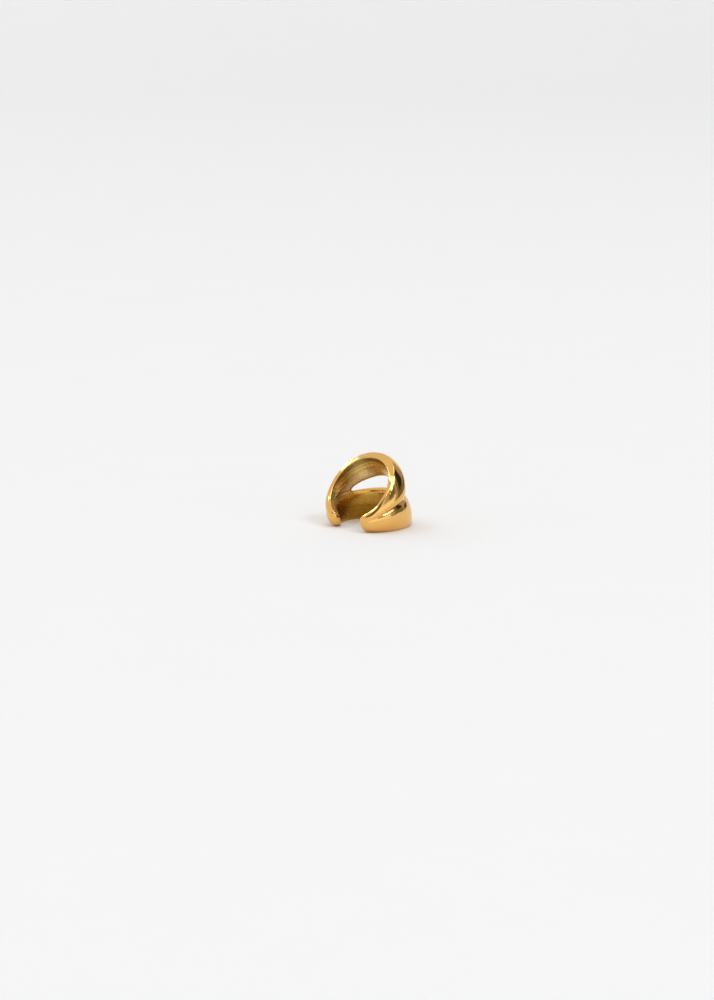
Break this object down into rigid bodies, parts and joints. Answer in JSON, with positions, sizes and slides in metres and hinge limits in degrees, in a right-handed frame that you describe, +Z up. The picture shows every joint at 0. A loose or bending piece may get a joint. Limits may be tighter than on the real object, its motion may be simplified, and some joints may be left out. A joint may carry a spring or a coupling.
{
  "type": "ear cuff",
  "caption": "Polished gold-tone ear cuff: a cast open ring of side-by-side domed bands with a lens-shaped slot between them, slipped over the rim of the ear.",
  "frame": {"origin": "on the table, under the middle of the outline seen from above", "axes": "+Z up from the table; +X across the hollow, towards the cuff's right tip as seen from the mouth; +Y from the mouth towards the back of the cuff"},
  "size_m": [0.0126, 0.0116, 0.0105],
  "materials": {
    "polished_gold": "polished"
  },
  "bodies": {
    "root": {"ear_cuff": "polished_gold"}
  },
  "joints": []
}
